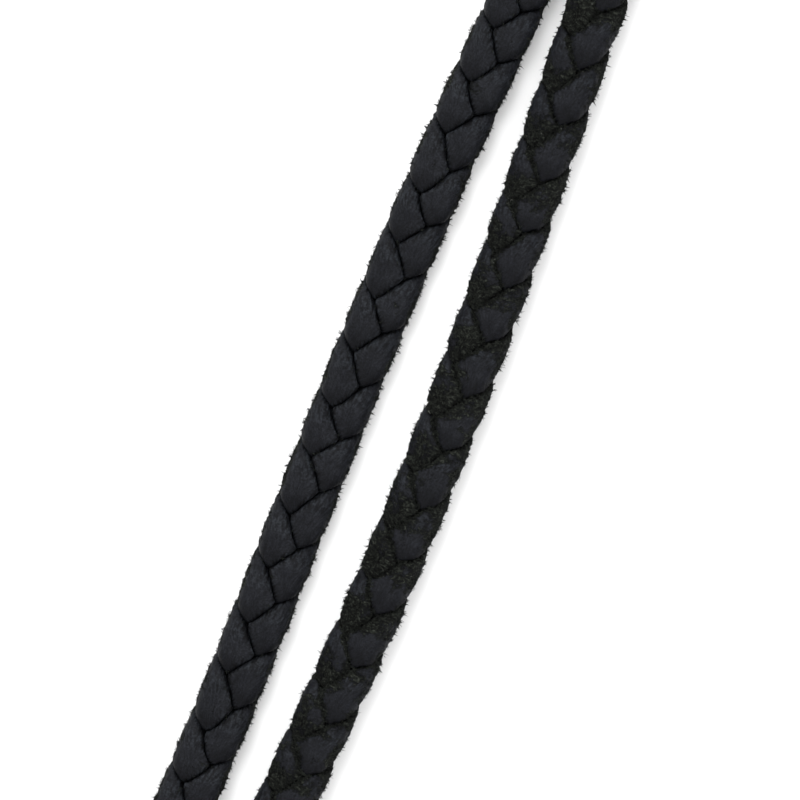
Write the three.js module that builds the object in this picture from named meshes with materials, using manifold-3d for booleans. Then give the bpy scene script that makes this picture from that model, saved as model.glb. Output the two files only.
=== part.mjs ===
// Braided leather necklace, closed and laid on a table as one long narrow loop.
//
// Millimetres, +Z up. The origin is under the middle of the loop, on the table. The two long runs lie along Y, the
// far bend is at +Y and the clasp sleeve at -Y.
//
// Three flat leather laces make one flat braid. In each braid period a lace swings once from side to side and dips
// twice from the face to the back, and the laces follow each other a third of a period apart. The braid's face is
// up on the run at -X. It rolls over round the far bend, so its back is up on the run at +X.

import * as THREE from 'three';
import { ParametricGeometry } from 'three/addons/geometries/ParametricGeometry.js';
import { mergeVertices } from 'three/addons/utils/BufferGeometryUtils.js';
import Module from 'manifold-3d';

const wasm = await Module();
wasm.setup();

// Braid ----------------------------------------------------------------------------------------------------------

const LACE_COUNT = 3;
const LOBE_PITCH = 5.45; // along the braid, between the lobes that neighbouring laces show on one side
const BRAID_PERIOD = LACE_COUNT * LOBE_PITCH;
const START_ANGLE = -30; // degrees of a braid period that the first lace is into its swing where it starts

// How far the core of a lace swings from the middle of the braid, to its sides and towards its face and back.
const SIDE_SWING = 1.45;
const RISE_SWING = 1.1;

// A lace fills the room that its neighbours, its own reach and the braid's outline leave it.
const BRAID_HALF_WIDTH = 2.75;
const BRAID_HALF_THICKNESS = 1.65;
const BRAID_CORNER_REACH = 2.7; // from the middle of the braid towards each corner of its outline
const BRAID_CORNER_ANGLE = 40; // degrees, of that corner from across the braid
const BRAID_ROUNDING = 0.7; // of the braid's corners, where it rests rolled over
const LACE_REACH = 2;
const LACE_GAP = 0.47; // between the flat sides of neighbouring laces
const LACE_SHARPNESS = 5; // more for sharper corners where two limits meet

const LACE_SIDES = 6;
const RINGS_PER_PERIOD = 12;

// Clasp sleeve ---------------------------------------------------------------------------------------------------

const SLEEVE_LENGTH = 16;
const SLEEVE_WIDTH = 8;
const SLEEVE_CORNER = 2.1;
const SLEEVE_BEVEL = 0.4;
const SLEEVE_WALL_UNDER = 0.7; // under and over the sockets
const SOCKET_DEPTH = 5;
const SOCKET_CORNER = 1.5;
const GAP = 0.3; // between the braid and the socket

const SLEEVE_HEIGHT = 2 * (SLEEVE_WALL_UNDER + GAP + BRAID_HALF_THICKNESS);
const SLEEVE_Y = -112.2;

// Route ----------------------------------------------------------------------------------------------------------

// The middle of the braid, from inside one end of the sleeve round to inside the other. turn is how far the braid's
// face has rolled from upright, in degrees. lift is how far the sleeve holds the braid off the table.
const ROUTE_COLUMNS = ['x', 'y', 'turn', 'lift'];
const ROUTE = [
  [-3.3, -112.2, 0, 1.0],
  [-7.4, -112.2, 0, 1.0],
  [-11.6, -112.2, 0, 0.9],
  [-16.9, -110.0, 0, 0.3],
  [-20.6, -104.6, 0, 0],
  [-20.3, -97.1, 0, 0],
  [-16.2, -88.6, 0, 0],
  [-11.0, -78.2, 0, 0],
  [-7.0, -66.8, 0, 0],
  [-4.9, -53.7, 0, 0],
  [-4.4, -32.7, 0, 0],
  [-4.95, -2.7, 0, 0],
  [-4.55, 25.3, 0, 0],
  [-3.2, 44.4, 2, 0],
  [-3.6, 61.4, 12, 0],
  [-6.6, 78.1, 28, 0],
  [-10.7, 91.7, 44, 0],
  [-12.4, 102.7, 60, 0],
  [-8.9, 112.1, 75, 0],
  [0.0, 115.8, 86, 0],
  [8.9, 112.1, 96, 0],
  [12.4, 102.7, 106, 0],
  [10.6, 91.7, 118, 0],
  [6.3, 78.1, 132, 0],
  [3.5, 63.4, 145, 0],
  [2.95, 47.5, 154, 0],
  [4.1, 26.3, 158, 0],
  [5.3, -0.7, 158, 0],
  [5.0, -24.7, 158, 0],
  [3.7, -43.7, 159, 0],
  [4.1, -56.6, 162, 0],
  [6.8, -68.8, 165, 0],
  [10.8, -79.2, 168, 0],
  [16.1, -88.6, 171, 0],
  [20.3, -97.1, 174, 0],
  [20.6, -104.6, 177, 0],
  [16.9, -110.0, 180, 0.3],
  [11.6, -112.2, 180, 0.9],
  [7.4, -112.2, 180, 1.0],
  [3.3, -112.2, 180, 1.0],
];

/** A uniform cubic spline of one column of ROUTE, t going from 0 to 1 along the rows. */
function routeValue(column, t) {
  const values = ROUTE.map((row) => row[ROUTE_COLUMNS.indexOf(column)]);
  const last = values.length - 1;
  const before = 2 * values[0] - values[1];
  const after = 2 * values[last] - values[last - 1];
  const padded = [before, ...values, after];
  const place = t * last;
  const row = Math.min(Math.floor(place), last - 1);
  const w = place - row;
  const [a, b, c, d] = padded.slice(row, row + 4);
  const nearA = (1 - w) ** 3 * a;
  const nearB = (3 * w ** 3 - 6 * w ** 2 + 4) * b;
  const nearC = (-3 * w ** 3 + 3 * w ** 2 + 3 * w + 1) * c;
  return (nearA + nearB + nearC + w ** 3 * d) / 6;
}

/** How high the braid's middle lies when its face has rolled by turn, in radians, and it rests on the table. */
function restingHeight(turn) {
  const fromWidth = (BRAID_HALF_WIDTH - BRAID_ROUNDING) * Math.abs(Math.sin(turn));
  const fromThickness = (BRAID_HALF_THICKNESS - BRAID_ROUNDING) * Math.abs(Math.cos(turn));
  return fromWidth + fromThickness + BRAID_ROUNDING;
}

/** The middle of the braid, with the directions across it and out of its face. */
class BraidRoute extends THREE.Curve {
  constructor() {
    super();
    this.arcLengthDivisions = 2000;
  }

  turnAt(t) {
    return THREE.MathUtils.degToRad(routeValue('turn', t));
  }

  getPoint(t, target = new THREE.Vector3()) {
    const height = restingHeight(this.turnAt(t)) + routeValue('lift', t);
    return target.set(routeValue('x', t), routeValue('y', t), height);
  }

  /** The braid's place and directions at a share u of its length. */
  frameAt(u) {
    const t = this.getUtoTmapping(u);
    const turn = this.turnAt(t);
    const middle = this.getPoint(t);
    const ahead = this.getTangent(t);
    const side = new THREE.Vector3().crossVectors(ahead, new THREE.Vector3(0, 0, 1)).normalize();
    const across = side.applyAxisAngle(ahead, -turn);
    const face = new THREE.Vector3().crossVectors(across, ahead);
    return { middle, ahead, across, face };
  }
}

const route = new BraidRoute();
const routeLength = route.getLength();
// Whole rings, so that a ring's place in its period is exact.
const ringSteps = Math.round((RINGS_PER_PERIOD * routeLength) / BRAID_PERIOD);

/** Where a lace's core lies across the braid, as a vector of across and face. */
function coreAt(angle) {
  return new THREE.Vector2(SIDE_SWING * Math.sin(angle), RISE_SWING * Math.sin(2 * angle));
}

/** The lines that hold a lace in, each as its direction from the lace's core and its distance. */
function limitsOf(core, neighbours) {
  const corner = THREE.MathUtils.degToRad(BRAID_CORNER_ANGLE);
  const outline = [
    [0, BRAID_HALF_WIDTH],
    [Math.PI, BRAID_HALF_WIDTH],
    [Math.PI / 2, BRAID_HALF_THICKNESS],
    [-Math.PI / 2, BRAID_HALF_THICKNESS],
    [corner, BRAID_CORNER_REACH],
    [-corner, BRAID_CORNER_REACH],
    [Math.PI - corner, BRAID_CORNER_REACH],
    [Math.PI + corner, BRAID_CORNER_REACH],
  ].map(([direction, reach]) => {
    const outwards = new THREE.Vector2(Math.cos(direction), Math.sin(direction));
    return { direction, distance: reach - core.dot(outwards) };
  });
  const shared = neighbours.map((neighbour) => {
    const apart = neighbour.clone().sub(core);
    return { direction: apart.angle(), distance: (apart.length() - LACE_GAP) / 2 };
  });
  return [...outline, ...shared];
}

/** How far a lace reaches from its core in one direction, held in by its limits with rounded corners. */
function reachOf(direction, limits) {
  let sum = LACE_REACH ** -LACE_SHARPNESS;
  for (const limit of limits) {
    const towards = Math.cos(direction - limit.direction);
    if (towards > 0) {
      sum += (towards / limit.distance) ** LACE_SHARPNESS;
    }
  }
  return sum ** (-1 / LACE_SHARPNESS);
}

/** The rings of one lace, each as its core and the points round it, from one end of the braid to the other. */
function laceRings(index) {
  return Array.from({ length: ringSteps + 1 }, (_, step) => {
    const { middle, across, face } = route.frameAt(step / ringSteps);
    const place = ({ x, y }) => middle.clone().addScaledVector(across, x).addScaledVector(face, y);
    const swung = 2 * Math.PI * (step / RINGS_PER_PERIOD + index / LACE_COUNT);
    const angle = swung + THREE.MathUtils.degToRad(START_ANGLE);
    const third = (2 * Math.PI) / LACE_COUNT;
    const core = coreAt(angle);
    const limits = limitsOf(core, [coreAt(angle + third), coreAt(angle - third)]);
    const points = Array.from({ length: LACE_SIDES }, (__, side) => {
      const direction = (-2 * Math.PI * side) / LACE_SIDES;
      const reach = reachOf(direction, limits);
      const point = new THREE.Vector2(Math.cos(direction), Math.sin(direction)).multiplyScalar(reach);
      return place(point.add(core));
    });
    return { core: place(core), points };
  });
}

/** Folds each twisted facet along the diagonal that takes it inwards, so that it can't cut its neighbour. */
function creasedInwards(geometry) {
  const position = geometry.attributes.position;
  const corners = Array.from({ length: 4 }, () => new THREE.Vector3());
  for (let i = 0; i < geometry.index.count; i += 6) {
    const [a, b, d, , c] = geometry.index.array.slice(i, i + 6);
    [a, b, c, d].forEach((vertex, k) => corners[k].fromBufferAttribute(position, vertex));
    const [, toB, toC, toD] = corners.map((corner) => corner.clone().sub(corners[0]));
    if (toB.dot(toC.cross(toD)) > 0) {
      geometry.index.array.set([a, b, c, a, c, d], i);
    }
  }
  return geometry;
}

/** One lace, closed at both ends by a fan about its core. */
function laceGeometry(index) {
  const rings = laceRings(index);
  const rows = ringSteps + 2;
  const surface = (around, along, target) => {
    const row = Math.round(along * rows);
    const ring = rings[THREE.MathUtils.clamp(row - 1, 0, ringSteps)];
    const isEnd = row === 0 || row === rows;
    const side = Math.round(around * LACE_SIDES) % LACE_SIDES;
    target.copy(isEnd ? ring.core : ring.points[side]);
  };
  return toGeometry(toSolid(creasedInwards(new ParametricGeometry(surface, LACE_SIDES, rows))));
}

/** A rectangle with rounded corners, about the origin. */
function roundedRectangle(width, height, corner) {
  const x = width / 2;
  const y = height / 2;
  const shape = new THREE.Shape();
  shape.moveTo(-x + corner, -y);
  shape.lineTo(x - corner, -y);
  shape.absarc(x - corner, -y + corner, corner, -Math.PI / 2, 0);
  shape.lineTo(x, y - corner);
  shape.absarc(x - corner, y - corner, corner, 0, Math.PI / 2);
  shape.lineTo(-x + corner, y);
  shape.absarc(-x + corner, y - corner, corner, Math.PI / 2, Math.PI);
  shape.lineTo(-x, -y + corner);
  shape.absarc(-x + corner, -y + corner, corner, Math.PI, (3 * Math.PI) / 2);
  return shape;
}

/** A geometry drawn across X and Y and along Z, turned to lie along X with its first axis across, on Y. */
function laidAlongX(geometry) {
  return geometry.rotateX(Math.PI / 2).rotateZ(Math.PI / 2);
}

function toSolid(geometry) {
  const bare = geometry.clone();
  bare.deleteAttribute('normal');
  bare.deleteAttribute('uv');
  const merged = mergeVertices(bare, 1e-4);
  const mesh = new wasm.Mesh({
    numProp: 3,
    vertProperties: new Float32Array(merged.attributes.position.array),
    triVerts: new Uint32Array(merged.index.array),
  });
  return new wasm.Manifold(mesh);
}

function toGeometry(solid) {
  const { vertProperties, triVerts } = solid.getMesh();
  const geometry = new THREE.BufferGeometry();
  geometry.setAttribute('position', new THREE.BufferAttribute(vertProperties, 3));
  geometry.setIndex(new THREE.BufferAttribute(triVerts, 1));
  geometry.computeVertexNormals();
  return geometry;
}

/** The sleeve's outside, along X and about the origin, with softened ends. */
function sleeveBody() {
  const outline = roundedRectangle(
    SLEEVE_WIDTH - 2 * SLEEVE_BEVEL,
    SLEEVE_HEIGHT - 2 * SLEEVE_BEVEL,
    SLEEVE_CORNER - SLEEVE_BEVEL,
  );
  const straight = SLEEVE_LENGTH - 2 * SLEEVE_BEVEL;
  const body = new THREE.ExtrudeGeometry(outline, {
    depth: straight,
    curveSegments: 4,
    bevelThickness: SLEEVE_BEVEL,
    bevelSize: SLEEVE_BEVEL,
    bevelSegments: 1,
  });
  body.translate(0, 0, -straight / 2);
  return laidAlongX(body);
}

/** One socket's hollow, along X, from its bottom out past the sleeve's end. */
function socketHollow(side) {
  const outline = roundedRectangle(
    2 * (BRAID_HALF_WIDTH + GAP),
    2 * (BRAID_HALF_THICKNESS + GAP),
    SOCKET_CORNER,
  );
  const depth = SOCKET_DEPTH + 1;
  const hollow = new THREE.ExtrudeGeometry(outline, { depth, curveSegments: 3, bevelEnabled: false });
  hollow.translate(0, 0, -depth / 2);
  const middle = SLEEVE_LENGTH / 2 - SOCKET_DEPTH + depth / 2;
  return laidAlongX(hollow).translate(side * middle, 0, 0);
}

function sleeveGeometry() {
  const body = toSolid(sleeveBody());
  const left = toSolid(socketHollow(-1));
  const right = toSolid(socketHollow(1));
  return toGeometry(body.subtract(left).subtract(right));
}

// Assembly -------------------------------------------------------------------------------------------------------

const necklace = new THREE.Group();

for (let index = 0; index < LACE_COUNT; index += 1) {
  const leather = new THREE.MeshStandardMaterial({ color: 0x24262a, roughness: 0.5, metalness: 0 });
  const lace = new THREE.Mesh(laceGeometry(index), leather);
  lace.name = `braid_strand_${index + 1}`;
  necklace.add(lace);
}

const steel = new THREE.MeshStandardMaterial({ color: 0xb8babd, roughness: 0.3, metalness: 1 });
const sleeve = new THREE.Mesh(sleeveGeometry(), steel);
sleeve.name = 'clasp_sleeve';
sleeve.position.set(0, SLEEVE_Y, SLEEVE_HEIGHT / 2);
necklace.add(sleeve);

export default necklace;
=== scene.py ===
"""A braided leather necklace with a plain steel sleeve, laid on a table as one long narrow loop.

Metres, +Z up. The two long runs lie along Y, the far bend is at +Y and the clasp sleeve at -Y. The
braid's face is up on the run at -X. The braid rolls over round the far bend, so its back is up on the
run at +X.
"""

from __future__ import annotations

import logging
import math
from dataclasses import dataclass, field, replace
from enum import Enum
from typing import Any

import bmesh
import bpy
import numpy as np
from mathutils import Matrix, Vector

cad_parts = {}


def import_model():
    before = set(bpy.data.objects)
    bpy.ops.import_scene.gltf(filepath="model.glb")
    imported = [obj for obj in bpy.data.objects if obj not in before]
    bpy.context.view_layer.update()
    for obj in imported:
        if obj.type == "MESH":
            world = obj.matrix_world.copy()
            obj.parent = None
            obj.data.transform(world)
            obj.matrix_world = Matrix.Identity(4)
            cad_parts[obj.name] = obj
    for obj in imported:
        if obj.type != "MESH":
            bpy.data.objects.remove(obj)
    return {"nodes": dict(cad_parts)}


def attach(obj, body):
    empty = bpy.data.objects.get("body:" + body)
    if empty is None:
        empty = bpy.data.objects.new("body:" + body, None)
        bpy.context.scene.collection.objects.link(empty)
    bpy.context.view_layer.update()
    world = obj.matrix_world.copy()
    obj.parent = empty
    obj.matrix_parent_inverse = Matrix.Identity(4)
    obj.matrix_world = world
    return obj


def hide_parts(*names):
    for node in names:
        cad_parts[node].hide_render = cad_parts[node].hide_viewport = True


LOG = logging.getLogger("necklace")

# A start and an end, a shade as sRGB hex digits or a linear grey or linear red, green and blue, and
# shades with their places on a ramp.
Range = tuple[float, float]
Shade = str | float | tuple[float, float, float]
Stops = tuple[tuple[float, Shade], ...]
Socket = bpy.types.NodeSocket

MM = 0.001
TINY = 1e-12

# The sRGB curve: a straight stretch up to the knee, then a power.
SRGB_KNEE = 0.04045
SRGB_SLOPE = 12.92
SRGB_OFFSET = 0.055
SRGB_POWER = 2.4

# The middle of the braid, from inside one end of the sleeve round to inside the other. turn is how far
# the braid's face has rolled from upright, in degrees. lift is how far the sleeve holds the braid off
# the table.
ROUTE_COLUMNS = ("x", "y", "turn", "lift")
ROUTE = (
    (-0.0033, -0.1122, 0, 0.0010),
    (-0.0074, -0.1122, 0, 0.0010),
    (-0.0116, -0.1122, 0, 0.0009),
    (-0.0169, -0.1100, 0, 0.0003),
    (-0.0206, -0.1046, 0, 0),
    (-0.0203, -0.0971, 0, 0),
    (-0.0162, -0.0886, 0, 0),
    (-0.0110, -0.0782, 0, 0),
    (-0.0070, -0.0668, 0, 0),
    (-0.0049, -0.0537, 0, 0),
    (-0.0044, -0.0327, 0, 0),
    (-0.00495, -0.0027, 0, 0),
    (-0.00455, 0.0253, 0, 0),
    (-0.0032, 0.0444, 2, 0),
    (-0.0036, 0.0614, 12, 0),
    (-0.0066, 0.0781, 28, 0),
    (-0.0107, 0.0917, 44, 0),
    (-0.0124, 0.1027, 60, 0),
    (-0.0089, 0.1121, 75, 0),
    (0.0000, 0.1158, 86, 0),
    (0.0089, 0.1121, 96, 0),
    (0.0124, 0.1027, 106, 0),
    (0.0106, 0.0917, 118, 0),
    (0.0063, 0.0781, 132, 0),
    (0.0035, 0.0634, 145, 0),
    (0.00295, 0.0475, 154, 0),
    (0.0041, 0.0263, 158, 0),
    (0.0053, -0.0007, 158, 0),
    (0.0050, -0.0247, 158, 0),
    (0.0037, -0.0437, 159, 0),
    (0.0041, -0.0566, 162, 0),
    (0.0068, -0.0688, 165, 0),
    (0.0108, -0.0792, 168, 0),
    (0.0161, -0.0886, 171, 0),
    (0.0203, -0.0971, 174, 0),
    (0.0206, -0.1046, 177, 0),
    (0.0169, -0.1100, 180, 0.0003),
    (0.0116, -0.1122, 180, 0.0009),
    (0.0074, -0.1122, 180, 0.0010),
    (0.0033, -0.1122, 180, 0.0010),
)


class FibrePlace(Enum):
    """Where on a lace a loose fibre stands, with how many stand there on each lace."""

    CUT_EDGE = 8000
    CREASE = 4600
    SUEDE_SIDE = 3600
    SUEDE_CREASE = 15600


def linear(shade: Shade) -> tuple[float, float, float, float]:
    """Turns a shade into a linear colour.

    Args:
        shade: Six hex digits of sRGB after a hash, a linear grey, or linear red, green and blue.

    Returns:
        Red, green, blue and full alpha.
    """
    if isinstance(shade, str):
        channels = [int(shade[i : i + 2], 16) / 255 for i in (1, 3, 5)]
        red, green, blue = (
            c / SRGB_SLOPE if c <= SRGB_KNEE else ((c + SRGB_OFFSET) / (1 + SRGB_OFFSET)) ** SRGB_POWER
            for c in channels
        )
    elif isinstance(shade, float):
        red = green = blue = shade
    else:
        red, green, blue = shade
    return red, green, blue, 1.0


def smooth_step(value: np.ndarray, ends: Range) -> np.ndarray:
    """Rises smoothly from 0 to 1.

    Args:
        value: The values.
        ends: The values where the rise starts and ends.

    Returns:
        The share at each value.
    """
    share = np.clip((value - ends[0]) / (ends[1] - ends[0]), 0, 1)
    return share * share * (3 - 2 * share)


# Route and braid ----------------------------------------------------------------------------------


@dataclass
class BraidRoute:
    """The line that the middle of the braid follows, with the directions of the braid's face."""

    half_width: float = 2.75 * MM
    half_thickness: float = 1.65 * MM
    rounding: float = 0.7 * MM
    samples: int = 8000
    frame_step: float = 0.05 * MM
    length: float = field(init=False)

    def __post_init__(self) -> None:
        """Works out how far along the route each sample lies."""
        self._t = np.linspace(0, 1, self.samples + 1)
        self._turn = np.radians(self._value("turn"))
        height = self._resting_height(self._turn) + self._value("lift")
        self._points = np.stack([self._value("x"), self._value("y"), height], 1)
        steps = np.linalg.norm(np.diff(self._points, axis=0), axis=1)
        self._along = np.concatenate([[0.0], np.cumsum(steps)])
        self.length = float(self._along[-1])

    def _value(self, column: str) -> np.ndarray:
        """Runs a uniform cubic spline through one column of ROUTE.

        Args:
            column: The column's name.

        Returns:
            The spline's value at every sample.
        """
        values = np.array([row[ROUTE_COLUMNS.index(column)] for row in ROUTE], float)
        last = len(values) - 1
        before, after = 2 * values[0] - values[1], 2 * values[last] - values[last - 1]
        padded = np.concatenate([[before], values, [after]])
        place = self._t * last
        row = np.minimum(place.astype(int), last - 1)
        w = place - row
        near_a = (1 - w) ** 3 * padded[row]
        near_b = (3 * w**3 - 6 * w**2 + 4) * padded[row + 1]
        near_c = (-3 * w**3 + 3 * w**2 + 3 * w + 1) * padded[row + 2]
        return (near_a + near_b + near_c + w**3 * padded[row + 3]) / 6

    def _resting_height(self, turn: np.ndarray) -> np.ndarray:
        """Works out how high the middle lies where the braid rests on the table.

        Args:
            turn: How far the face has rolled at each sample, in radians.

        Returns:
            The heights.
        """
        from_width = (self.half_width - self.rounding) * np.abs(np.sin(turn))
        from_thickness = (self.half_thickness - self.rounding) * np.abs(np.cos(turn))
        return from_width + from_thickness + self.rounding

    def middle(self, along: np.ndarray) -> np.ndarray:
        """The middle of the braid at distances along it."""
        return np.stack([np.interp(along, self._along, self._points[:, k]) for k in range(3)], 1)

    def frames(self, along: np.ndarray) -> tuple[np.ndarray, np.ndarray, np.ndarray]:
        """The middle of the braid and its directions.

        Args:
            along: Distances from the start.

        Returns:
            The middle points, the directions across the braid, and those out of its face.
        """
        after = self.middle(np.minimum(along + self.frame_step, self.length))
        before = self.middle(np.maximum(along - self.frame_step, 0))
        ahead = after - before
        ahead /= np.linalg.norm(ahead, axis=1)[:, None]
        side = np.cross(ahead, [0.0, 0.0, 1.0])
        side /= np.linalg.norm(side, axis=1)[:, None]
        turn = np.interp(along, self._along, self._turn)[:, None]
        across = side * np.cos(turn) - np.cross(ahead, side) * np.sin(turn)
        return self.middle(along), across, np.cross(across, ahead)


@dataclass(frozen=True)
class LaceSurface:
    """Points round one lace from end to end, with what its leather needs to know of each."""

    points: np.ndarray
    wrap: np.ndarray
    contact: np.ndarray
    suede: np.ndarray
    dive: np.ndarray
    across: np.ndarray
    centre: np.ndarray

    def normals(self) -> np.ndarray:
        """Works out the directions out of the surface.

        Returns:
            A direction for each point.
        """
        along = np.gradient(self.points, axis=0)
        around = np.gradient(self.points, axis=1)
        normal = np.cross(along, around)
        normal /= np.maximum(np.linalg.norm(normal, axis=-1), TINY)[..., None]
        outwards = np.sum(normal * (self.points - self.centre[:, None]), axis=-1)
        return normal * np.sign(outwards)[..., None]


@dataclass
class Braid:
    """Three leather laces in a flat braid, each filling the room that the others leave it."""

    route: BraidRoute
    lace_count: int = 3
    lobe_pitch: float = 5.45 * MM
    start_angle: float = math.radians(-30)
    side_swing: float = 1.5 * MM
    rise_swing: float = 0.95 * MM

    # How plaiting by hand wanders: along the braid, in each lace's reach and in the pull of its edges.
    wander: float = math.radians(5)
    reach_wander: float = 0.06
    pull_wander: float = 0.25
    pull_stream: int = 9
    wander_seed: int = 11
    wander_lengths: tuple[float, ...] = (61 * MM, 37 * MM, 19 * MM, 11 * MM)
    wander_fade: Range = (8 * MM, 20 * MM)

    # What holds a lace in, and how sharp the corners are that it is held to.
    corner_reach: float = 2.7 * MM
    corner_angle: float = math.radians(40)
    lace_reach: float = 2.3 * MM
    lace_gap: float = 0.036 * MM
    face_sharpness: float = 6.2
    back_sharpness: float = 9.0
    back_ends: Range = (-0.2, 0.5)

    # How far a lace's edge is pulled straight where it crosses another, and where on the section.
    edge_pull: float = 0.6 * MM
    edge_pull_lag: float = math.radians(125)
    edge_pull_across: Range = (0.2 * MM, 2.0 * MM)
    edge_pull_face: Range = (-0.3 * MM, 0.9 * MM)

    # Where the suede side shows, and where a lace dives.
    suede_angle: float = math.radians(10)
    suede_lean: float = 1.6
    suede_mean: float = 0.37
    suede_swing: float = 0.4
    suede_by_crease: float = 0.75
    crease_ends: Range = (0, 0.4)
    suede_by_edge: float = 0.52
    cut_edge: Range = (2.2 * MM, 2.7 * MM)
    dive_angle: float = math.radians(-2)

    # How deep the uneven surface is.
    grain_relief: float = 0.012 * MM
    suede_relief: float = 0.075 * MM
    suede_shows: Range = (0.3, 0.6)
    pressed: Range = (0.4, 0.7)
    relief_limit: float = 2.0
    relief_seed: int = 23

    period_parts: int = 12
    rings_per_period: int = 72
    sides: int = 36
    period: float = field(init=False)
    rings: int = field(init=False)

    def __post_init__(self) -> None:
        """Fits a whole number of parts of a period into the route, as the solids do."""
        parts = round(self.period_parts * self.route.length / (self.lace_count * self.lobe_pitch))
        self.period = self.period_parts * self.route.length / parts
        self.rings = round(self.rings_per_period * parts / self.period_parts)

    def _uneven(self, along: np.ndarray, stream: int) -> np.ndarray:
        """A slow seeded wave about zero, for the unevenness of plaiting by hand.

        Args:
            along: Distances along the braid.
            stream: Which wave.

        Returns:
            The wave, mostly between -1 and 1, and 0 at both ends of the braid.
        """
        rng = np.random.default_rng(self.wander_seed + stream)
        total = np.zeros_like(along)
        for wavelength in self.wander_lengths:
            total = total + np.sin(2 * math.pi * (along / wavelength + rng.random()))
        from_end = np.minimum(along, self.route.length - along)
        return total * smooth_step(from_end, self.wander_fade) / 2

    def core(self, angle: np.ndarray) -> np.ndarray:
        """Where a lace's core lies across the braid, as across and face."""
        return np.stack([self.side_swing * np.sin(angle), self.rise_swing * np.sin(2 * angle)], -1)

    def _limits(self, core: np.ndarray, others: list[np.ndarray]) -> tuple[list[tuple], list[tuple]]:
        """The lines that hold a lace in, each as its direction from the core and its distance.

        Args:
            core: The lace's core, a row for each ring.
            others: The cores of the neighbouring laces.

        Returns:
            The limits of the braid's outline, and those shared with the neighbours.
        """
        corner = self.corner_angle
        outline = []
        for direction, reach in (
            (0.0, self.route.half_width),
            (math.pi, self.route.half_width),
            (math.pi / 2, self.route.half_thickness),
            (-math.pi / 2, self.route.half_thickness),
            (corner, self.corner_reach),
            (-corner, self.corner_reach),
            (math.pi - corner, self.corner_reach),
            (math.pi + corner, self.corner_reach),
        ):
            outwards = np.array([math.cos(direction), math.sin(direction)])
            outline.append((direction, reach - core @ outwards))
        shared = []
        for other in others:
            apart = other - core
            distance = np.linalg.norm(apart, axis=1) / 2 - self.lace_gap / 2
            shared.append((np.arctan2(apart[:, 1], apart[:, 0]), distance))
        return outline, shared

    def _sharpness(self, directions: np.ndarray) -> np.ndarray:
        """How sharp a lace's corners are in each direction: more on the back, pressed flatter."""
        on_back = smooth_step(-np.sin(directions), self.back_ends)
        return self.face_sharpness + (self.back_sharpness - self.face_sharpness) * on_back

    def _crowding(self, directions: np.ndarray, limits: list[tuple]) -> np.ndarray:
        """Works out how strongly limits hold a lace in.

        Args:
            directions: Directions from the lace's core.
            limits: Each limit's direction and distance.

        Returns:
            The strength, a row for each ring and a column for each direction.
        """
        sharpness = self._sharpness(directions)[None, :]
        total = 0.0
        for direction, distance in limits:
            towards = np.cos(directions[None, :] - np.reshape(direction, (-1, 1)))
            total = total + (np.maximum(towards, 0) / np.reshape(distance, (-1, 1))) ** sharpness
        return total

    def _pulled(self, in_plane: np.ndarray, angle: np.ndarray, pull: np.ndarray) -> np.ndarray:
        """Pulls the middle of each side to and fro, so that lace edges run straight where they cross.

        Args:
            in_plane: Points as across and face, a row for each ring.
            angle: Each ring's angle.
            pull: How far each ring's points are pulled at most.

        Returns:
            The pulled points.
        """
        across, face = in_plane[..., 0], in_plane[..., 1]
        wave = self.lace_count * angle[:, None]
        on_face = smooth_step(face, self.edge_pull_face) * np.sin(self.edge_pull_lag - wave)
        on_back = smooth_step(-face, self.edge_pull_face) * np.sin(wave + self.edge_pull_lag - math.pi)
        in_middle = 1 - smooth_step(np.abs(across), self.edge_pull_across)
        return np.stack([across + pull[:, None] * in_middle * (on_face + on_back), face], -1)

    def lace(self, index: int) -> LaceSurface:
        """Works out one lace.

        Args:
            index: Which lace, from 0.

        Returns:
            Its surface, a row for each ring and a column for each side.
        """
        along = np.linspace(0, self.route.length, self.rings + 1)
        third = 2 * math.pi / self.lace_count
        angle = 2 * math.pi * along / self.period + index * third + self.start_angle
        angle = angle + self.wander * self._uneven(along, 0)
        core = self.core(angle)
        directions = np.linspace(-math.pi, math.pi, self.sides + 1)
        outline, shared = self._limits(core, [self.core(angle + third), self.core(angle - third)])
        held_by_others = self._crowding(directions, shared)
        own_reach = self.lace_reach * (1 + self.reach_wander * self._uneven(along, 1 + index))[:, None]
        sharpness = self._sharpness(directions)[None, :]
        held = held_by_others + self._crowding(directions, outline) + own_reach**-sharpness
        reach = held ** (-1 / sharpness)
        in_plane = np.stack([np.cos(directions), np.sin(directions)], 1)[None] * reach[..., None]
        pull = self.edge_pull * (1 + self.pull_wander * self._uneven(along, self.pull_stream))
        in_plane = self._pulled(in_plane + core[:, None], angle, pull)
        middle, across, face = self.route.frames(along)
        off_middle = across[:, None] * in_plane[..., :1] + face[:, None] * in_plane[..., 1:]
        points = middle[:, None] + off_middle
        centre = middle + across * core[:, :1] + face * core[:, 1:]
        core_steps = np.linalg.norm(np.diff(centre, axis=0), axis=1)
        core_along = np.concatenate([[0.0], np.cumsum(core_steps)])
        radius = float(reach.mean())
        wrap = np.empty(points.shape)
        wrap[..., 0] = radius * np.cos(directions)
        wrap[..., 1] = radius * np.sin(directions)
        wrap[..., 2] = core_along[:, None]
        contact = held_by_others / held
        suede = self._suede(angle, directions, in_plane[..., 0], contact)
        # dive is 1 where the lace crosses the middle of the braid and dives under the next; the leather
        # paints shade there by it and draws its strokes there.
        dive = 0.5 + 0.5 * np.cos(2 * (angle - self.dive_angle))[:, None] * np.ones_like(contact)
        smooth = LaceSurface(points, wrap, contact, suede, dive, in_plane[..., 0], centre)
        return self._roughened(smooth, index)

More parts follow.
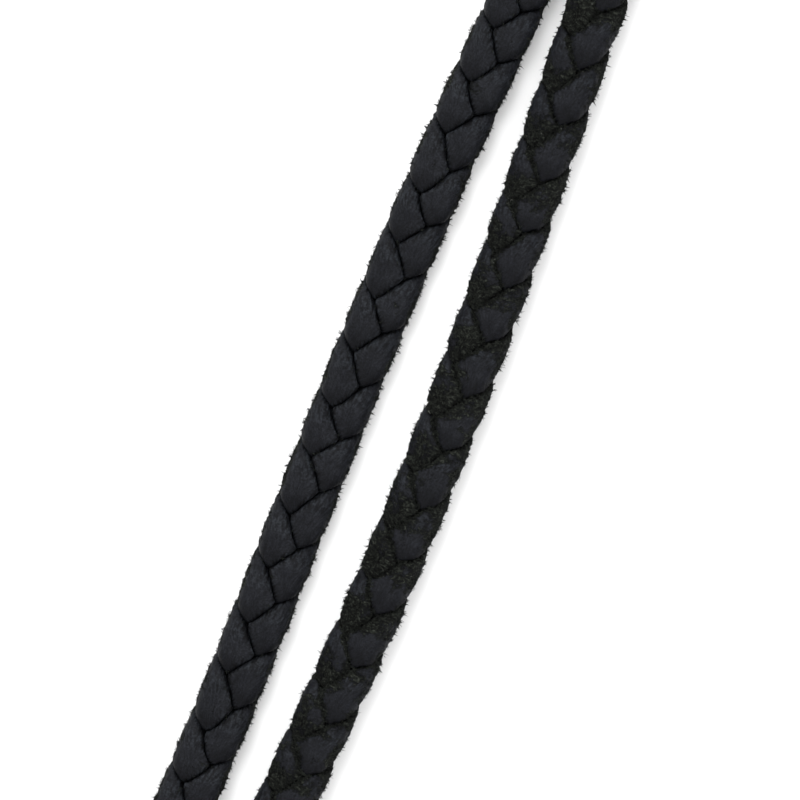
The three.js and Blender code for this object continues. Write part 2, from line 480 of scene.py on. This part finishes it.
    def _roughened(self, lace: LaceSurface, index: int) -> LaceSurface:
        """Gives a lace its uneven surface: most on its suede, none where laces press together.

        Args:
            lace: The smooth lace.
            index: Which lace, from 0.

        Returns:
            The lace with its points moved along their normals.
        """
        rng = np.random.default_rng(self.relief_seed + index)
        is_suede = smooth_step(lace.suede, self.suede_shows)
        depth = self.grain_relief + (self.suede_relief - self.grain_relief) * is_suede
        depth = depth * (1 - smooth_step(lace.contact, self.pressed))
        depth[[0, -1]] = 0
        bumps = rng.normal(size=depth.shape)
        bumps[:, -1] = bumps[:, 0]
        bumps = np.clip(bumps, -self.relief_limit, self.relief_limit)
        rough = lace.normals() * (depth * bumps)[..., None]
        rough[:, -1] = rough[:, 0]
        points = lace.points + rough
        points[..., 2] = np.maximum(points[..., 2], 0)
        return replace(lace, points=points)

    def _suede(
        self, angle: np.ndarray, directions: np.ndarray, across: np.ndarray, contact: np.ndarray
    ) -> np.ndarray:
        """How far inside the suede side each point lies: 0.5 where the grain side ends.

        Args:
            angle: Each ring's angle.
            directions: Each column's direction from the lace's core.
            across: Each point's place across the braid.
            contact: How strongly the other laces hold each point in.

        Returns:
            The share, from 0 to 1.
        """
        on_back = 0.5 - self.suede_lean * np.sin(directions)[None, :]
        by_crease = self.suede_by_crease * smooth_step(contact, self.crease_ends)
        swing = self.suede_swing * np.cos(angle - self.suede_angle)[:, None]
        turned_out = self.suede_mean + swing + by_crease
        at_edge = self.suede_by_edge * smooth_step(np.abs(across), self.cut_edge)
        return np.clip(np.maximum(np.minimum(on_back, turned_out), at_edge), 0, 1)


# Finishes -----------------------------------------------------------------------------------------


@dataclass(frozen=True)
class Noise:
    """One noise texture: the size of its largest forms, and how its finer ones are added."""

    size: float
    detail: float = 2.0
    roughness: float = 0.5
    distortion: float = 0.0


@dataclass(frozen=True)
class Relief:
    """How strongly a pattern stands out of a surface, and how deep it is."""

    strength: float
    depth: float


@dataclass
class NodeBoard:
    """A material's node tree while it is being wired."""

    material: bpy.types.Material

    def __post_init__(self) -> None:
        """Clears the tree and makes the shader and its output."""
        self.material.use_nodes = True
        self.tree = self.material.node_tree
        self.tree.nodes.clear()
        self.shader = self.add("ShaderNodeBsdfPrincipled")
        self.add("ShaderNodeOutputMaterial", links={"Surface": self.shader.outputs["BSDF"]})

    def add(
        self, kind: str, settings: dict[Any, Any] | None = None, links: dict[Any, Any] | None = None
    ) -> bpy.types.Node:
        """Adds a node.

        Args:
            kind: The node's type.
            settings: Values of its properties, or of its inputs by name or number.
            links: Outputs of other nodes, by the name or number of the input that each feeds.

        Returns:
            The node.
        """
        node = self.tree.nodes.new(kind)
        for name, value in (settings or {}).items():
            if isinstance(name, str) and hasattr(node, name):
                setattr(node, name, value)
            else:
                node.inputs[name].default_value = value
        for name, output in (links or {}).items():
            self.tree.links.new(output, node.inputs[name])
        return node

    def attribute(self, name: str, output: str = "Fac") -> Socket:
        """Reads one of the mesh's own attributes."""
        return self.add("ShaderNodeAttribute", {"attribute_name": name}).outputs[output]

    def stretched(self, place: Socket, scale: tuple[float, float, float]) -> Socket:
        """Scales a place, so that a pattern read there is drawn out."""
        return self.add("ShaderNodeMapping", {"Scale": scale}, {"Vector": place}).outputs["Vector"]

    def noise(self, place: Socket, noise: Noise) -> Socket:
        """Reads a noise texture.

        Args:
            place: Where it is read.
            noise: Its size and detail.

        Returns:
            The noise, which lies about 0.5.
        """
        settings = {
            "Scale": 1 / noise.size,
            "Detail": noise.detail,
            "Roughness": noise.roughness,
            "Distortion": noise.distortion,
        }
        return self.add("ShaderNodeTexNoise", settings, {"Vector": place}).outputs["Fac"]

    def share(self, value: Socket, ends: Range, top: float = 1.0) -> Socket:
        """Maps a value to a share.

        Args:
            value: The value.
            ends: The values that become 0 and the top share.
            top: The top share.

        Returns:
            The share, from 0 to the top.
        """
        settings = {"From Min": ends[0], "From Max": ends[1], "To Max": top}
        return self.add("ShaderNodeMapRange", settings, {"Value": value}).outputs["Result"]

    def scaled(self, value: Socket, factor: float, offset: float) -> Socket:
        """Multiplies a value by a factor and adds an offset."""
        settings = {"operation": "MULTIPLY_ADD", 1: factor, 2: offset}
        return self.add("ShaderNodeMath", settings, {0: value}).outputs[0]

    def combined(self, operation: str, first: Socket, second: Socket) -> Socket:
        """Joins two values by an operation of the math node."""
        return self.add("ShaderNodeMath", {"operation": operation}, {0: first, 1: second}).outputs[0]

    def ramp(self, source: Socket, stops: Stops) -> Socket:
        """Colours a value through a ramp.

        Args:
            source: The value.
            stops: Places from 0 to 1 with their shades.

        Returns:
            The ramp's colour output.
        """
        node = self.add("ShaderNodeValToRGB", links={"Fac": source})
        elements = node.color_ramp.elements
        while len(elements) < len(stops):
            elements.new(0.5)
        for element, (place, shade) in zip(elements, stops):
            element.position = place
            element.color = linear(shade)
        return node.outputs["Color"]

    def mix(self, factor: Socket | float, first: Any, second: Any, blend: str = "MIX") -> Socket:
        """Mixes two colours.

        Args:
            factor: The share of the second colour, an output or a number.
            first: An output or a linear colour.
            second: An output or a linear colour.
            blend: How the second is laid on the first.

        Returns:
            The mixed colour.
        """
        node = self.add("ShaderNodeMix", {"data_type": "RGBA", "blend_type": blend})
        for number, value in ((0, factor), (6, first), (7, second)):
            socket = node.inputs[number]
            if isinstance(value, Socket):
                self.tree.links.new(value, socket)
            else:
                socket.default_value = value
        return node.outputs[2]

    def bump(self, height: Socket, relief: Relief, normal: Socket | None = None) -> Socket:
        """Raises a surface by a pattern.

        Args:
            height: The pattern.
            relief: How strong and deep it is.
            normal: The surface's direction where an earlier pattern has raised it.

        Returns:
            The surface's direction with the pattern on it.
        """
        links = {"Height": height} if normal is None else {"Height": height, "Normal": normal}
        settings = {"Strength": relief.strength, "Distance": relief.depth}
        return self.add("ShaderNodeBump", settings, links).outputs["Normal"]

    def feed(self, name: str, output: Socket) -> None:
        """Links an output to one of the shader's inputs."""
        self.tree.links.new(output, self.shader.inputs[name])

    def set_input(self, name: str, value: Any) -> None:
        """Gives one of the shader's inputs a fixed value."""
        self.shader.inputs[name].default_value = value


@dataclass(frozen=True)
class BlackLaceLeather:
    """Aniline dyed cowhide lace, cut and plaited.

    The grain side is satin, with fine drawn lines and pores. The flesh side is open rough suede.
    """

    name: str = "aniline cowhide lace, plaited"

    # Fine lines that run the length of the lace, where the hide was drawn through the cutter.
    lines: Noise = Noise(0.2 * MM, 4.0, 0.7)
    line_stretch: float = 5.0
    line_relief: Relief = Relief(0.9, 0.07 * MM)
    grain_stops: Stops = ((0.4, "#101114"), (0.66, "#1b1c20"))
    satin_stops: Stops = ((0.3, 0.5), (0.75, 0.68))
    specular: float = 0.07

    # The strokes of stretched grain, near the creases and round the braid's edges.
    strokes: Noise = Noise(0.17 * MM, 2.0, 0.6)
    stroke_stops: Stops = ((0.43, "#050506"), (0.58, "#292c30"))
    bent_ends: Range = (0.22, 0.0)
    bent_share: float = 0.42
    stretched_ends: Range = (0.01, 0.2)
    stretched_share: float = 0.7

    # Pores and small pits of the grain.
    pore_size: float = 0.22 * MM
    pore_relief: Relief = Relief(0.5, 0.04 * MM)
    pit_stops: Stops = ((0.05, 0.62), (0.4, 1.0))
    pit_share: float = 0.45

    # The fine unevenness of a rubbed surface, and the broad unevenness of the dye.
    grit: Noise = Noise(0.16 * MM, 2.0, 0.6)
    grit_stops: Stops = ((0.35, 0.4), (0.65, 1.7))
    grit_share: float = 0.65
    cloud: Noise = Noise(1.9 * MM, 3.0)
    cloud_stops: Stops = ((0.32, (0.62, 0.63, 0.67)), (0.68, 1.12))
    cloud_share: float = 0.8

    # Matted fibre ends of the flesh side, and the broken line where the grain side frays into them.
    nap: Noise = Noise(0.27 * MM, 5.0, 0.8, 0.8)
    nap_relief: Relief = Relief(1.0, 0.25 * MM)
    suede_stops: Stops = ((0.43, "#060606"), (0.54, "#1b1d1a"), (0.71, "#434640"))
    suede_roughness: float = 0.95
    fray: float = 1.3
    patchiness: float = 2.0
    suede_ends: Range = (0.42, 0.58)

    # Painted shade: a lace is painted darker towards the creases, where it dives under the next, and at
    # its cut edge where the other laces press on it, and much less on its suede side.
    crease_shade_stops: Stops = ((0.0, 1.0), (0.08, 0.85), (0.3, 0.72), (0.65, 0.5))
    dive_shade_stops: Stops = ((0.1, 1.04), (0.6, 1.0), (0.97, (0.45, 0.45, 0.48)))
    suede_keeps: float = 0.8
    cut_edge_shade_ends: Range = (0.88, 0.98)
    cut_edge: Shade = "#060607"

    def _drawn(self, board: NodeBoard, wrap: Socket, noise: Noise) -> Socket:
        """Reads a noise texture drawn out along the lace."""
        return board.noise(board.stretched(wrap, (1, 1, 1 / self.line_stretch)), noise)

    def _grain(
        self, board: NodeBoard, wrap: Socket, lines: Socket, pores: Socket, cloud: Socket
    ) -> Socket:
        """Wires the colour of the grain side.

        Args:
            board: The material's nodes.
            wrap: The place on the lace.
            lines: The drawn lines.
            pores: The distance from the nearest pore.
            cloud: The unevenness of the dye.

        Returns:
            The colour.
        """
        strokes = board.ramp(self._drawn(board, wrap, self.strokes), self.stroke_stops)
        bent = board.share(board.attribute("dive"), self.bent_ends, self.bent_share)
        near = board.share(board.attribute("contact"), self.stretched_ends, self.stretched_share)
        stretched = board.combined("MAXIMUM", near, bent)
        grain = board.mix(stretched, board.ramp(lines, self.grain_stops), strokes)
        for share, source, stops in (
            (self.pit_share, pores, self.pit_stops),
            (self.grit_share, board.noise(wrap, self.grit), self.grit_stops),
            (self.cloud_share, cloud, self.cloud_stops),
        ):
            grain = board.mix(share, grain, board.ramp(source, stops), "MULTIPLY")
        return grain

    def _is_suede(self, board: NodeBoard, nap: Socket, cloud: Socket) -> Socket:
        """Wires the broken line between the grain side and the suede side.

        Args:
            board: The material's nodes.
            nap: The matted fibre ends.
            cloud: The unevenness of the dye.

        Returns:
            0 on the grain side and 1 on the suede side.
        """
        frayed = board.scaled(nap, self.fray, -self.fray / 2)
        patchy = board.scaled(cloud, self.patchiness, -self.patchiness / 2)
        ragged = board.combined("ADD", frayed, patchy)
        return board.share(board.combined("ADD", board.attribute("suede"), ragged), self.suede_ends)

    def build(self) -> bpy.types.Material:
        """Makes the material.

        Returns:
            The leather, which reads the lace's own wrap, contact, suede and dive attributes.
        """
        board = NodeBoard(bpy.data.materials.new(self.name))
        wrap = board.attribute("wrap", "Vector")
        contact = board.attribute("contact")
        lines = self._drawn(board, wrap, self.lines)
        pore_settings = {"Scale": 1 / self.pore_size}
        pores = board.add("ShaderNodeTexVoronoi", pore_settings, {"Vector": wrap}).outputs["Distance"]
        nap = board.noise(wrap, self.nap)
        cloud = board.noise(wrap, self.cloud)

        is_suede = self._is_suede(board, nap, cloud)
        grain = self._grain(board, wrap, lines, pores, cloud)
        colour = board.mix(is_suede, grain, board.ramp(nap, self.suede_stops))
        # Painted shade towards the creases, full on the grain side and a fifth as much on the suede.
        painted_shade_share = board.scaled(is_suede, -self.suede_keeps, 1.0)
        colour = board.mix(painted_shade_share, colour, board.ramp(contact, self.crease_shade_stops), "MULTIPLY")
        # Painted shade where the lace dives under the next, with a touch of painted light where it
        # comes out.
        painted_dive_shade = board.ramp(board.attribute("dive"), self.dive_shade_stops)
        colour = board.mix(painted_shade_share, colour, painted_dive_shade, "MULTIPLY")
        # Painted shade: near black where the other laces press on the lace's cut edge, deep in the
        # creases.
        cut = board.share(contact, self.cut_edge_shade_ends)
        board.feed("Base Color", board.mix(cut, colour, linear(self.cut_edge)))

        satin = board.ramp(lines, self.satin_stops)
        board.feed("Roughness", board.mix(is_suede, satin, linear(self.suede_roughness)))
        board.set_input("Specular IOR Level", self.specular)

        drawn = board.bump(lines, self.line_relief)
        pitted = board.bump(pores, self.pore_relief, drawn)
        matted = board.combined("MULTIPLY", nap, is_suede)
        board.feed("Normal", board.bump(matted, self.nap_relief, pitted))
        return board.material


@dataclass(frozen=True)
class LeatherFibre:
    """Loose collagen fibre of dyed leather: dry, matt and a little paler towards its tips."""

    name: str = "dyed leather fibre, loose"
    patches: Noise = Noise(0.9 * MM, 4.0)
    colour_stops: Stops = ((0.35, "#0c0d0c"), (0.68, "#272a26"), (0.76, "#8d8f8a"))
    roughness_stops: Stops = ((0.3, 0.85), (0.7, 0.98))
    specular: float = 0.1

    def build(self) -> bpy.types.Material:
        """Makes the material.

        Returns:
            The fibre, in patches of dark and pale.
        """
        board = NodeBoard(bpy.data.materials.new(self.name))
        place = board.add("ShaderNodeTexCoord").outputs["Object"]
        patches = board.noise(place, self.patches)
        board.feed("Base Color", board.ramp(patches, self.colour_stops))
        board.feed("Roughness", board.ramp(patches, self.roughness_stops))
        board.set_input("Specular IOR Level", self.specular)
        return board.material


@dataclass(frozen=True)
class BrushedSteel:
    """Stainless steel, drawn and brushed: a long soft highlight with fine lines in it."""

    name: str = "stainless steel, brushed"
    lines: Noise = Noise(0.07 * MM, 3.0, 0.6)
    line_stretch: float = 50.0
    line_relief: Relief = Relief(0.4, 0.01 * MM)
    colour_stops: Stops = ((0.35, "#85878b"), (0.65, "#b0b2b5"))
    roughness_stops: Stops = ((0.3, 0.26), (0.7, 0.42))

    def build(self) -> bpy.types.Material:
        """Makes the material.

        Returns:
            The steel, brushed along X.
        """
        board = NodeBoard(bpy.data.materials.new(self.name))
        place = board.add("ShaderNodeTexCoord").outputs["Object"]
        lines = board.noise(board.stretched(place, (1 / self.line_stretch, 1, 1)), self.lines)
        board.set_input("Metallic", 1.0)
        board.feed("Base Color", board.ramp(lines, self.colour_stops))
        board.feed("Roughness", board.ramp(lines, self.roughness_stops))
        board.feed("Normal", board.bump(lines, self.line_relief))
        return board.material


@dataclass(frozen=True)
class PalePaper:
    """Seamless white background paper: matt, with no pattern that shows."""

    name: str = "seamless paper, matt"
    colour: Shade = "#f6f6f6"
    roughness: float = 0.9
    specular: float = 0.1

    def build(self) -> bpy.types.Material:
        """Makes the material.

        Returns:
            The paper.
        """
        board = NodeBoard(bpy.data.materials.new(self.name))
        board.set_input("Base Color", linear(self.colour))
        board.set_input("Roughness", self.roughness)
        board.set_input("Specular IOR Level", self.specular)
        return board.material


# Pieces -------------------------------------------------------------------------------------------


def piece_from(builder: bmesh.types.BMesh, name: str, material: bpy.types.Material) -> bpy.types.Object:
    """Makes a scene object of a built mesh.

    Args:
        builder: The mesh, which is freed.
        name: The object's name.
        material: Its finish.

    Returns:
        The object, at the origin.
    """
    mesh = bpy.data.meshes.new(name)
    builder.to_mesh(mesh)
    builder.free()
    mesh.materials.append(material)
    piece = bpy.data.objects.new(name, mesh)
    bpy.context.scene.collection.objects.link(piece)
    return piece


@dataclass
class BraidedCord:
    """The leather part of the necklace: three laces and the fibres that stand off their cut edges."""

    braid: Braid
    leather: bpy.types.Material
    fibre: bpy.types.Material
    slot: str = "leather"
    merge_distance: float = 1e-7
    path_points: int = 1200
    matted_seed: int = 6

    def _lace(self, index: int, surface: LaceSurface) -> bpy.types.Object:
        """Builds one lace as a closed tube round its own core.

        Args:
            index: Which lace, from 0.
            surface: Its points.

        Returns:
            The lace, which stands for its solid.
        """
        rings, columns = surface.points.shape[:2]
        builder = bmesh.new()
        bmesh.ops.create_grid(builder, x_segments=rings - 1, y_segments=columns - 1, size=0.5)
        builder.verts.ensure_lookup_table()
        grid = np.array([vertex.co[:2] for vertex in builder.verts])
        ring = np.rint((grid[:, 0] + 0.5) * (rings - 1)).astype(int)
        column = np.rint((grid[:, 1] + 0.5) * (columns - 1)).astype(int)
        layers = builder.verts.layers
        wrap = layers.float_vector.new("wrap")
        shares = {name: layers.float.new(name) for name in ("contact", "suede", "dive")}
        for vertex, i, j in zip(builder.verts, ring.tolist(), column.tolist()):
            vertex.co = surface.points[i, j]
            vertex[wrap] = surface.wrap[i, j]
            for name, layer in shares.items():
                vertex[layer] = getattr(surface, name)[i, j]
        bmesh.ops.remove_doubles(builder, verts=builder.verts, dist=self.merge_distance)
        ends = [edge for edge in builder.edges if edge.is_boundary]
        bmesh.ops.holes_fill(builder, edges=ends, sides=0)
        bmesh.ops.recalc_face_normals(builder, faces=builder.faces)
        for face in builder.faces:
            face.smooth = len(face.verts) <= 4
        node = f"braid_strand_{index + 1}"
        lace = piece_from(builder, f"leather_lace_{index + 1}", self.leather)
        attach(lace, "root")
        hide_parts(node)
        return lace

    def build(self) -> list[bpy.types.Object]:
        """Returns:
            The pieces.
        """
        surfaces = [self.braid.lace(index) for index in range(self.braid.lace_count)]
        laces = [self._lace(index, surface) for index, surface in enumerate(surfaces)]
        fuzz = LooseFibres(surfaces, self.fibre, self.slot).build()
        places = (FibrePlace.SUEDE_CREASE,)
        matted = LooseFibres(
            surfaces, self.fibre, self.slot, "matted_leather_fibres", places, self.matted_seed
        ).build()
        route = self.braid.route
        middle = route.middle(np.linspace(0, route.length, self.path_points))
        return [*laces, fuzz, matted]


@dataclass
class LooseFibres:
    """Short fibres that stand off the laces in chosen places, joined to one mesh."""

    surfaces: list[LaceSurface]
    finish: bpy.types.Material
    slot: str = "leather"
    name: str = "loose_leather_fibres"
    places: tuple[FibrePlace, ...] = (FibrePlace.CUT_EDGE, FibrePlace.CREASE, FibrePlace.SUEDE_SIDE)
    seed: int = 5

    # A fibre's size, and how it stands.
    typical_length: float = 0.28 * MM
    longest: float = 0.55 * MM
    length_spread: float = 0.4
    thickness: float = 0.085 * MM
    tuft: int = 4
    stand: Range = (0.2, 0.9)
    lean: float = 0.5
    spread: float = 0.35
    table_clearance: float = 0.03 * MM

    # Where each kind of place starts and ends, by how tightly a lace is held and how far it is suede.
    covered: Range = (0.45, 0.7)
    edge_band: Range = (2.25 * MM, 2.7 * MM)
    crease_band: Range = (0.2, 0.45)
    grain_crease: float = 0.25
    suede_band: Range = (0.4, 0.7)
    matted_start: Range = (0.12, 0.4)
    matted_end: Range = (0.6, 0.85)
    matted_suede: Range = (0.3, 0.6)
    batch: int = 300

    def _weights(self, surface: LaceSurface, place: FibrePlace) -> np.ndarray:
        """Works out how likely each point of a lace is to hold a fibre.

        Args:
            surface: The lace.
            place: Where on it the fibres stand.

        Returns:
            A weight for each point.
        """
        contact, suede = surface.contact, surface.suede
        in_the_open = 1 - smooth_step(contact, self.covered)
        if place is FibrePlace.CUT_EDGE:
            return in_the_open * smooth_step(np.abs(surface.across), self.edge_band)
        if place is FibrePlace.CREASE:
            return smooth_step(contact, self.crease_band) * in_the_open * (self.grain_crease + suede)
        if place is FibrePlace.SUEDE_CREASE:
            in_crease = smooth_step(contact, self.matted_start)
            in_crease = in_crease * (1 - smooth_step(contact, self.matted_end))
            return in_crease * smooth_step(suede, self.matted_suede)
        return in_the_open * smooth_step(suede, self.suede_band)

    def _fibres(
        self, surface: LaceSurface, place: FibrePlace, rng: np.random.Generator
    ) -> list[tuple[Vector, Vector]]:
        """Scatters the fibres of one place over one lace.

        Args:
            surface: The lace.
            place: Where on it they stand.
            rng: The source of chance.

        Returns:
            Each fibre's root and the vector to its tip, with those that would meet the table left out.
        """
        weights = self._weights(surface, place)[1:-1, :-1]
        rows, columns = weights.shape
        tufts = place.value // self.tuft
        picked = rng.choice(rows * columns, size=tufts, p=(weights / weights.sum()).ravel())
        i, j = picked // columns + 1, picked % columns
        share = rng.random((tufts, 1))
        roots = surface.points[i, j] * share + surface.points[i, j + 1] * (1 - share)
        standing = surface.normals()[i, j] * rng.uniform(*self.stand, (tufts, 1))
        leaning = standing + rng.normal(0, self.lean, (tufts, 3))
        roots, leaning = roots.repeat(self.tuft, 0), leaning.repeat(self.tuft, 0)
        roots = roots + rng.normal(0, self.thickness / 2, roots.shape)
        direction = leaning + rng.normal(0, self.spread, leaning.shape)
        direction /= np.linalg.norm(direction, axis=1)[:, None]
        length = self.typical_length * rng.lognormal(0, self.length_spread, len(roots))
        tips = direction * np.minimum(length, self.longest)[:, None]
        clear = np.minimum(roots[:, 2], roots[:, 2] + tips[:, 2]) > self.table_clearance
        return [(Vector(root), Vector(tip)) for root, tip in zip(roots[clear], tips[clear])]

    def _batch(self, fibres: list[tuple[Vector, Vector]]) -> bpy.types.Mesh:
        """Makes a few fibres, each a thin three-sided spike.

        Args:
            fibres: Each fibre's root and the vector to its tip.

        Returns:
            The fibres' mesh.
        """
        builder = bmesh.new()
        for root, tip in fibres:
            turn = tip.to_track_quat("Z", "Y").to_matrix().to_4x4()
            bmesh.ops.create_cone(
                builder,
                cap_ends=True,
                segments=3,
                radius1=self.thickness / 2,
                radius2=0,
                depth=tip.length,
                matrix=Matrix.Translation(root + tip / 2) @ turn,
            )
        mesh = bpy.data.meshes.new("fibres")
        builder.to_mesh(mesh)
        builder.free()
        return mesh

    def build(self) -> bpy.types.Object:
        """Builds all the fibres.

        Returns:
            The one piece that they are joined to.
        """
        rng = np.random.default_rng(self.seed)
        fibres = []
        for surface in self.surfaces:
            for place in self.places:
                fibres += self._fibres(surface, place, rng)
        builder = bmesh.new()
        for start in range(0, len(fibres), self.batch):
            mesh = self._batch(fibres[start : start + self.batch])
            builder.from_mesh(mesh)
            bpy.data.meshes.remove(mesh)
        fuzz = piece_from(builder, self.name, self.finish)
        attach(fuzz, "root")
        return fuzz


@dataclass
class ClaspSleeve:
    """The plain closed sleeve that holds both ends of the braid."""

    steel: bpy.types.Material
    middle: tuple[float, float, float] = (0.0, -0.1122, 0.00265)
    size: tuple[float, float, float] = (16 * MM, 8 * MM, 5.3 * MM)
    corner: float = 2.1 * MM
    corner_segments: int = 10
    end_bevel: float = 0.4 * MM
    end_segments: int = 4
    end_facing: float = 0.9
    sharp_angle: float = math.radians(40)
    socket_size: tuple[float, float] = (6.1 * MM, 3.9 * MM)
    socket_depth: float = 5 * MM
    slot: str = "steel"

    @staticmethod
    def _run(edge: bmesh.types.BMEdge) -> float:
        """How far an edge runs along X."""
        return abs(edge.verts[0].co.x - edge.verts[1].co.x)

    def _bevel(
        self, builder: bmesh.types.BMesh, edges: list[bmesh.types.BMEdge], width: float, segments: int
    ) -> None:
        """Rounds edges.

        Args:
            builder: The sleeve.
            edges: The edges.
            width: How far the rounding reaches.
            segments: How many strips it has.
        """
        shape = {"offset": width, "segments": segments, "profile": 0.5, "affect": "EDGES"}
        bmesh.ops.bevel(builder, geom=edges, material=-1, clamp_overlap=True, **shape)

    def _hollow(self, builder: bmesh.types.BMesh, end: int) -> None:
        """Sinks the socket into one end.

        Args:
            builder: The sleeve about the origin.
            end: 1 for the end at +X and -1 for the other.
        """
        face = max(builder.faces, key=lambda f: end * f.calc_center_median().x)
        bmesh.ops.inset_individual(builder, faces=[face], thickness=self.end_bevel)
        for vertex in face.verts:
            vertex.co.y *= self.socket_size[0] / (self.size[1] - 2 * self.end_bevel)
            vertex.co.z *= self.socket_size[1] / (self.size[2] - 2 * self.end_bevel)
        sunk = bmesh.ops.extrude_discrete_faces(builder, faces=[face])["faces"]
        bmesh.ops.translate(builder, verts=sunk[0].verts, vec=(-end * self.socket_depth, 0, 0))

    def build(self) -> bpy.types.Object:
        """Builds the sleeve.

        Returns:
            The sleeve, which stands for its solid.
        """
        builder = bmesh.new()
        bmesh.ops.create_cube(builder, size=1.0)
        bmesh.ops.scale(builder, verts=builder.verts, vec=self.size)
        long_edges = [e for e in builder.edges if self._run(e) > self.socket_depth]
        self._bevel(builder, long_edges, self.corner, self.corner_segments)
        rims = [e for e in builder.edges if self._run(e) < self.end_bevel]
        self._bevel(builder, rims, self.end_bevel, self.end_segments)
        for end in (-1, 1):
            self._hollow(builder, end)
        bmesh.ops.translate(builder, verts=builder.verts, vec=self.middle)
        bmesh.ops.recalc_face_normals(builder, faces=builder.faces)
        for face in builder.faces:
            face.smooth = abs(face.normal.x) < self.end_facing and len(face.verts) <= 4
        for edge in builder.edges:
            edge.smooth = edge.calc_face_angle(0.0) < self.sharp_angle
        sleeve = piece_from(builder, "steel_clasp_sleeve", self.steel)
        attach(sleeve, "root")
        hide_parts("clasp_sleeve")
        return sleeve


# Studio -------------------------------------------------------------------------------------------


@dataclass
class Studio:
    """The camera straight above the middle of the loop, the table and soft light."""

    field_width: float = 0.07547
    aim: tuple[float, float, float] = (0.0, -0.0009, 0.0)
    roll: float = math.radians(21.8)
    lens: float = 200.0
    sensor: float = 36.0
    table_size: float = 3.0
    paper: PalePaper = field(default_factory=PalePaper)
    room_strength: float = 1.42
    key_place: tuple[float, float, float] = (-0.35, 0.35, 0.75)
    key_size: float = 0.5
    key_power: float = 5.0

    def camera(self) -> None:
        """Puts the camera over the middle of the loop, rolled so that the runs lean to the right."""
        data = bpy.data.cameras.new("camera")
        data.lens = self.lens
        data.sensor_width = self.sensor
        camera = bpy.data.objects.new("camera", data)
        height = self.field_width * self.lens / self.sensor
        over = Matrix.Translation(Vector(self.aim) + Vector((0, 0, height)))
        camera.matrix_world = over @ Matrix.Rotation(self.roll, 4, "Z")
        bpy.context.scene.collection.objects.link(camera)
        bpy.context.scene.camera = camera

    def table(self) -> None:
        """Lays a large sheet of paper under the necklace."""
        builder = bmesh.new()
        bmesh.ops.create_grid(builder, x_segments=1, y_segments=1, size=self.table_size)
        floor = piece_from(builder, "paper_table", self.paper.build())

    def _key(self) -> None:
        """Adds a square soft light aimed at the origin."""
        data = bpy.data.lights.new("key softbox", "AREA")
        data.shape = "SQUARE"
        data.size = self.key_size
        data.energy = self.key_power
        light = bpy.data.objects.new("key softbox", data)
        light.location = self.key_place
        light.rotation_euler = (-Vector(self.key_place)).to_track_quat("-Z", "Y").to_euler()
        bpy.context.scene.collection.objects.link(light)

    def lights(self) -> None:
        """Adds even light from all round with a soft key from the upper left."""
        world = bpy.data.worlds.new("soft white room")
        world.use_nodes = True
        background = world.node_tree.nodes["Background"]
        background.inputs["Color"].default_value = (1, 1, 1, 1)
        background.inputs["Strength"].default_value = self.room_strength
        bpy.context.scene.world = world
        bpy.context.scene.view_settings.view_transform = "Standard"
        self._key()


def main() -> None:
    logging.basicConfig(level=logging.INFO, format="%(name)s: %(message)s")
    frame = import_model()
    LOG.info("frame has %d solids", len(frame["nodes"]))
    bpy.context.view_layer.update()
    studio = Studio()
    studio.camera()
    route = BraidRoute()
    LOG.info("route is %.4f m long", route.length)
    cord = BraidedCord(Braid(route), BlackLaceLeather().build(), LeatherFibre().build())
    for piece in cord.build():
        LOG.info("%s has %d faces", piece.name, len(piece.data.polygons))
    sleeve = ClaspSleeve(BrushedSteel().build()).build()
    LOG.info("sleeve %s", sleeve.name)
    studio.table()
    studio.lights()


if __name__ == "__main__":
    main()
